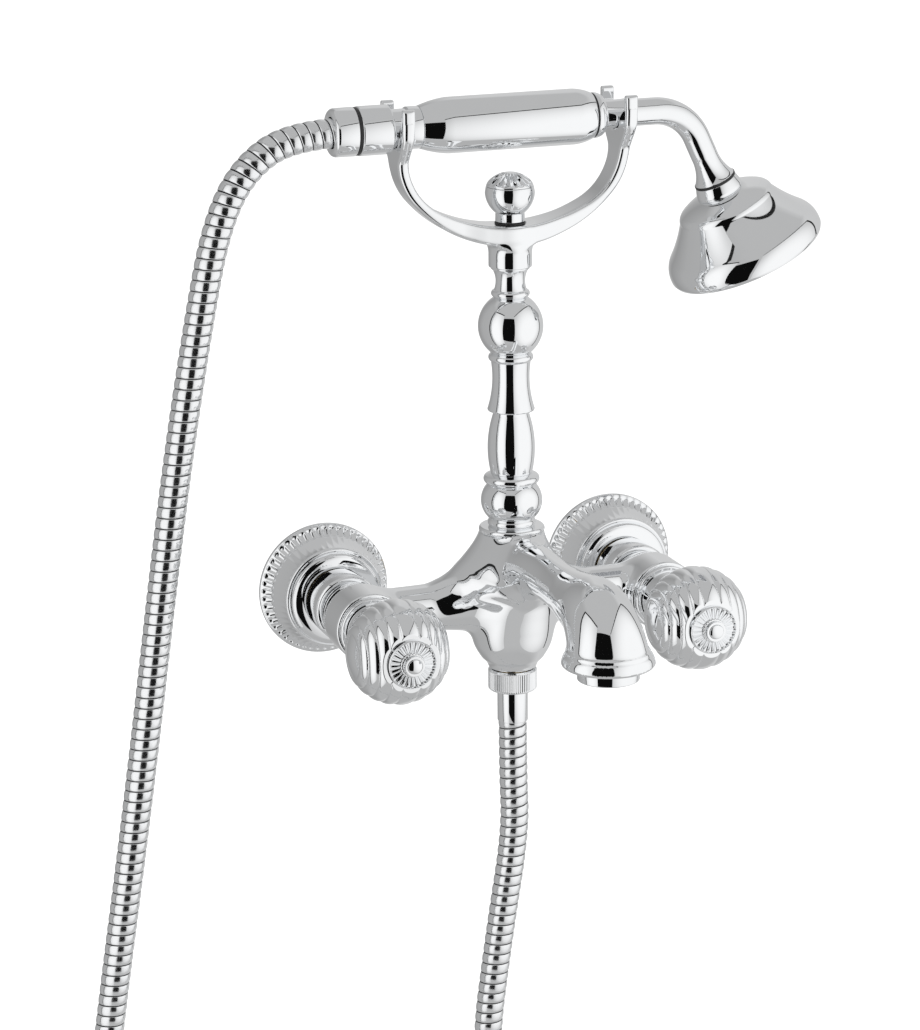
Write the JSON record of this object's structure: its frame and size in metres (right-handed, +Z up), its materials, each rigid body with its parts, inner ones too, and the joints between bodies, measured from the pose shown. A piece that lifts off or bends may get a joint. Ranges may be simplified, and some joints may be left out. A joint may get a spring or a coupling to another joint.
{
  "type": "bath mixer",
  "caption": "Wall bath mixer in polished chrome with ball knobs, curved spout, diverter column and a telephone hand shower lying in a forked cradle, with its hose.",
  "frame": {"origin": "midway between the two water inlets, in the face of the wall", "axes": "+Y into the wall, +X to the right as seen from the front, +Z up"},
  "size_m": [0.3844, 0.2273, 0.8091],
  "materials": {
    "chrome": "polished",
    "brass": "machined",
    "black_rubber": "smooth",
    "white_plastic": "smooth",
    "grey_plastic": "smooth",
    "ceramic": "ground ceramic"
  },
  "bodies": {
    "mixer": {"aerator_housing": "chrome", "aerator_insert": "white_plastic", "aerator_washer": "black_rubber", "bonnet_left": "chrome", "bonnet_right": "chrome", "column_barrel": "chrome", "column_lower": "chrome", "column_upper": "chrome", "cradle": "chrome", "cradle_gland": "black_rubber", "hose": "chrome", "hose_ferrule_lower": "chrome", "hose_nut_lower": "chrome", "hose_washer_lower": "black_rubber", "inlet_union_left": "brass", "inlet_union_right": "brass", "mixer_body": "chrome", "outlet_nipple": "brass", "union_nut_left": "chrome", "union_nut_right": "chrome", "union_washer_left": "black_rubber", "union_washer_right": "black_rubber", "valve_disc_left": "ceramic", "valve_disc_right": "ceramic", "valve_seal_left": "black_rubber", "valve_seal_right": "black_rubber", "wall_flange_left": "chrome", "wall_flange_right": "chrome"},
    "tap_left": {"spindle_left": "brass", "knob_left": "chrome", "knob_medallion_left": "chrome", "knob_screw_left": "chrome"},
    "tap_right": {"spindle_right": "brass", "knob_right": "chrome", "knob_medallion_right": "chrome", "knob_screw_right": "chrome"},
    "diverter": {"diverter_rod": "brass", "diverter_valve": "black_rubber", "diverter_knob": "chrome", "diverter_cap": "chrome"},
    "handset": {"hose_nut_upper": "chrome", "hose_washer_upper": "black_rubber", "handset_tail": "chrome", "grip_ring_left": "chrome", "handset_grip": "chrome", "grip_ring_right": "black_rubber", "grip_end": "chrome", "handset_neck": "chrome", "head_gasket": "black_rubber", "head_collar": "chrome", "shower_head": "chrome", "spray_plate": "grey_plastic"}
  },
  "joints": [
    {"name": "knob_left_turn", "type": "hinge", "parent": "mixer", "child": "tap_left", "pos_m": [-0.075, -0.114, 0], "axis": [0, -1, 0], "range_deg": [0, 90]},
    {"name": "knob_right_turn", "type": "hinge", "parent": "mixer", "child": "tap_right", "pos_m": [0.075, -0.114, 0], "axis": [0, -1, 0], "range_deg": [-90, 0]},
    {"name": "diverter_pull", "type": "slide", "parent": "mixer", "child": "diverter", "axis": [0, 0, 1], "range_m": [0, 0.01]},
    {"name": "handset_lift", "type": "slide", "parent": "mixer", "child": "handset", "axis": [0, 0, 1], "range_m": [0, 0.04], "deforming": ["hose"]}
  ]
}
